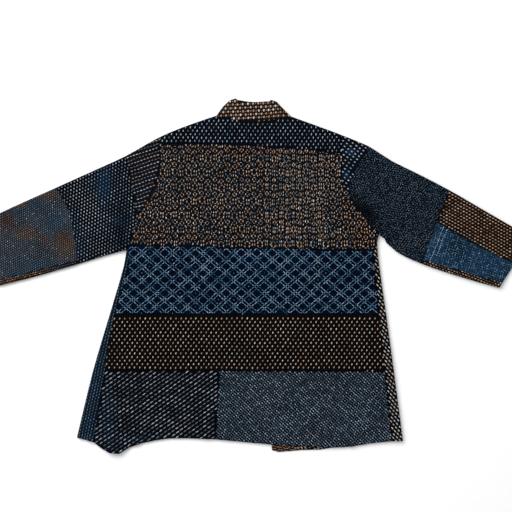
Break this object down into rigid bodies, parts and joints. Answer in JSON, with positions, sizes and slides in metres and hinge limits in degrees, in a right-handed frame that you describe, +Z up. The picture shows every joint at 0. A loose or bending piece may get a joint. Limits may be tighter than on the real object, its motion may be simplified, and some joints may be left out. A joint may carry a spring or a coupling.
{
  "type": "sashiko jacket",
  "caption": "Patchwork sashiko jacket laid flat with its back up: stand collar, long sleeves spread, open front underneath.",
  "frame": {"origin": "middle of the bounding box, on the surface that the jacket lies on", "axes": "+X across the jacket, from the wearer's left sleeve to the right one, +Y from the hem towards the collar, +Z up, out of the jacket's back"},
  "size_m": [1.2296, 0.7798, 0.0116],
  "materials": {
    "collar_cloth": "black-brown cotton with rows of tan stitches",
    "yoke_cloth": "dark navy cotton with greyish white stitches",
    "main_cloth": "near-black navy cotton with persimmon-flower sashiko in tan thread",
    "shoulder_left_cloth": "navy cotton with sloping rows of grey and tan stitches",
    "shoulder_right_cloth": "blue-navy cotton with white stitches",
    "lattice_cloth": "indigo cotton with a light blue diamond lattice",
    "dots_cloth": "black-brown cotton with rows of cream stitches",
    "lower_left_cloth": "near-black cotton with sloping rows of grey-white stitches",
    "lower_right_cloth": "navy cotton with fine grey-blue diagonal stitches",
    "front_left_cloth": "navy cotton with vertical rows of fine grey-blue stitches",
    "front_right_cloth": "black cotton with sloping rows of white and tan stitches",
    "sleeve_navy_cloth": "navy cotton with tilted rows of white stitches, paler where rubbed",
    "sleeve_rubbed_cloth": "fine stitched weave in grey, tan, blue and rust, rubbed",
    "sleeve_front_cloth": "black-brown cotton with tan and brown stitches",
    "sleeve_slate_cloth": "dark slate-blue cotton with fine grey stitches",
    "sleeve_brown_cloth": "black-brown cotton with rows of tan stitches",
    "sleeve_chambray_cloth": "plain indigo chambray with faint pale lines"
  },
  "bodies": {
    "root": {"collar": "collar_cloth", "back_yoke": "yoke_cloth", "back_main": "main_cloth", "shoulder_patch_left": "shoulder_left_cloth", "shoulder_patch_right": "shoulder_right_cloth", "band_lattice": "lattice_cloth", "band_dots": "dots_cloth", "back_lower_left": "lower_left_cloth", "back_lower_right": "lower_right_cloth", "front_left": "front_left_cloth", "front_right": "front_right_cloth", "sleeve_left_upper": "sleeve_navy_cloth", "sleeve_left_lower": "sleeve_rubbed_cloth", "sleeve_left_lower_front": "sleeve_front_cloth", "sleeve_right_upper": "sleeve_slate_cloth", "sleeve_right_lower_outer": "sleeve_brown_cloth", "sleeve_right_lower_inner": "sleeve_chambray_cloth", "sleeve_right_lower_front": "sleeve_front_cloth"}
  },
  "joints": []
}
